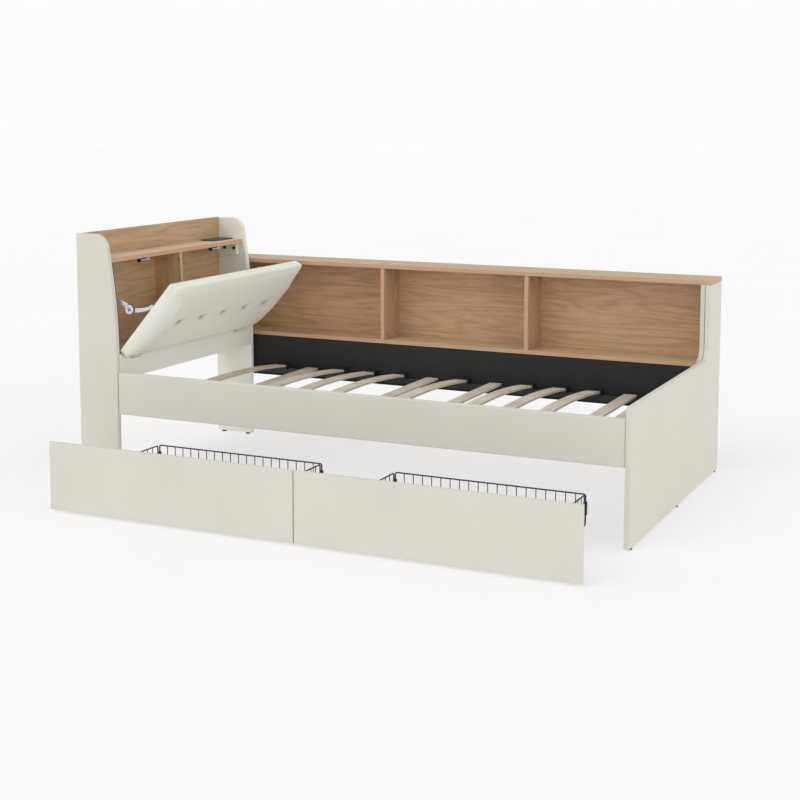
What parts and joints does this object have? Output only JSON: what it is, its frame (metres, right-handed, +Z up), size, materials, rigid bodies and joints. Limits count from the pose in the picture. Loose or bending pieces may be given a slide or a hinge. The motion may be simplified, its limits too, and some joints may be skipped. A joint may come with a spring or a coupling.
{
  "type": "storage daybed",
  "caption": "Upholstered daybed with a shelf headboard behind a drop-down padded flap, a low bookcase along the back, a slatted base and rolling wire drawers.",
  "frame": {"origin": "centre of the footprint of the whole bed on the floor, with both drawers rolled out as at rest", "axes": "+X from the headboard to the footboard, +Y from the open front to the bookcase at the back, +Z up"},
  "size_m": [2.112, 1.564, 0.925],
  "materials": {
    "upholstery": "smooth matt cream cover over board, soft edges",
    "flap_cover": "cream cover over foam, pulled in by one row of five sewn tufts",
    "oak": "oak-grain laminate, matt, light brown",
    "slat": "pale greyish laminated wood",
    "black_cloth": "black cloth over board",
    "black_plastic": "moulded black plastic",
    "gloss_black": "glossy black moulded plastic",
    "cream_enamel": "steel hinge powder-coated cream to match the cover",
    "chrome_steel": "chromed steel",
    "black_wire": "black powder-coated steel wire"
  },
  "bodies": {
    "bed_frame": {"headboard_near_side": "upholstery", "headboard_far_side": "upholstery", "headboard_back_board": "oak", "headboard_top_shelf": "oak", "headboard_floor_shelf": "oak", "headboard_divider": "oak", "headboard_lower_rail": "upholstery", "flap_near_hinge_leaf": "cream_enamel", "flap_far_hinge_leaf": "cream_enamel", "charging_pad": "gloss_black", "flap_near_catch": "black_plastic", "flap_far_catch": "black_plastic", "front_rail": "upholstery", "back_rail": "black_cloth", "front_slat_ledge": "black_plastic", "back_slat_ledge": "black_plastic", "bowed_slat_1": "slat", "flat_slat_2": "slat", "bowed_slat_3": "slat", "bowed_slat_4": "slat", "bowed_slat_5": "slat", "flat_slat_6": "slat", "bowed_slat_7": "slat", "flat_slat_8": "slat", "bowed_slat_9": "slat", "bowed_slat_10": "slat", "bowed_slat_11": "slat", "flat_slat_12": "slat", "bowed_slat_13": "slat", "footboard": "upholstery", "bookcase_outer_end": "upholstery", "bookcase_left_end": "oak", "bookcase_right_end": "oak", "bookcase_top": "oak", "bookcase_shelf": "oak", "bookcase_back_panel": "oak", "bookcase_left_divider": "oak", "bookcase_right_divider": "oak"},
    "flap": {"flap_board": "upholstery", "flap_cushion": "flap_cover", "near_stay_bracket": "chrome_steel", "far_stay_bracket": "chrome_steel"},
    "near_arm": {"near_stay_arm": "chrome_steel"},
    "near_link": {"near_stay_link": "chrome_steel"},
    "far_arm": {"far_stay_arm": "chrome_steel"},
    "far_link": {"far_stay_link": "chrome_steel"},
    "left_drawer": {"left_drawer_front": "upholstery", "left_basket_back": "black_wire", "left_basket_left_side": "black_wire", "left_basket_right_side": "black_wire", "left_basket_floor": "black_wire"},
    "left_front_castors": {"left_front_wheels": "black_plastic"},
    "left_rear_castors": {"left_rear_wheels": "black_plastic"},
    "right_drawer": {"right_drawer_front": "upholstery", "right_basket_back": "black_wire", "right_basket_left_side": "black_wire", "right_basket_right_side": "black_wire", "right_basket_floor": "black_wire"},
    "right_front_castors": {"right_front_wheels": "black_plastic"},
    "right_rear_castors": {"right_rear_wheels": "black_plastic"}
  },
  "joints": [
    {"name": "flap_hinge", "type": "hinge", "parent": "bed_frame", "child": "flap", "pos_m": [-0.8835, 0.1015, 0.4665], "axis": [0, -1, 0], "range_deg": [0, 43.33]},
    {"name": "near_arm_pivot", "type": "hinge", "parent": "bed_frame", "child": "near_arm", "pos_m": [-0.932, -0.3445, 0.722], "axis": [0, -1, 0], "range_deg": [-53.8, 0]},
    {"name": "near_link_pivot", "type": "hinge", "parent": "flap", "child": "near_link", "pos_m": [-0.75751, -0.3409, 0.66372], "axis": [0, -1, 0], "range_deg": [0, 37.4]},
    {"name": "far_arm_pivot", "type": "hinge", "parent": "bed_frame", "child": "far_arm", "pos_m": [-0.93, 0.5475, 0.676], "axis": [0, -1, 0], "range_deg": [0, 88.6]},
    {"name": "far_link_pivot", "type": "hinge", "parent": "flap", "child": "far_link", "pos_m": [-0.76013, 0.5439, 0.6607], "axis": [0, -1, 0], "range_deg": [-87.7, 0]},
    {"name": "left_drawer_slide", "type": "slide", "parent": "bed_frame", "child": "left_drawer", "axis": [0, -1, 0], "range_m": [-0.405, 0.05]},
    {"name": "right_drawer_slide", "type": "slide", "parent": "bed_frame", "child": "right_drawer", "axis": [0, -1, 0], "range_m": [-0.405, 0.05]},
    {"name": "left_front_wheel_spin", "type": "hinge", "parent": "left_drawer", "child": "left_front_castors", "pos_m": [-0.40525, -0.6937, 0.02], "axis": [1, 0, 0], "continuous": true},
    {"name": "left_rear_wheel_spin", "type": "hinge", "parent": "left_drawer", "child": "left_rear_castors", "pos_m": [-0.40525, -0.3937, 0.02], "axis": [1, 0, 0], "continuous": true},
    {"name": "right_front_wheel_spin", "type": "hinge", "parent": "right_drawer", "child": "right_front_castors", "pos_m": [0.55325, -0.6937, 0.02], "axis": [1, 0, 0], "continuous": true},
    {"name": "right_rear_wheel_spin", "type": "hinge", "parent": "right_drawer", "child": "right_rear_castors", "pos_m": [0.55325, -0.3937, 0.02], "axis": [1, 0, 0], "continuous": true}
  ],
  "couplings": [
    {"joint": "near_arm_pivot", "follows": "flap_hinge", "ratio": -1.24},
    {"joint": "near_link_pivot", "follows": "flap_hinge", "ratio": 0.86},
    {"joint": "far_arm_pivot", "follows": "flap_hinge", "ratio": 2.04},
    {"joint": "far_link_pivot", "follows": "flap_hinge", "ratio": -2.02},
    {"joint": "left_front_wheel_spin", "follows": "left_drawer_slide", "rad_per_m": 50},
    {"joint": "left_rear_wheel_spin", "follows": "left_drawer_slide", "rad_per_m": 50},
    {"joint": "right_front_wheel_spin", "follows": "right_drawer_slide", "rad_per_m": 50},
    {"joint": "right_rear_wheel_spin", "follows": "right_drawer_slide", "rad_per_m": 50}
  ]
}
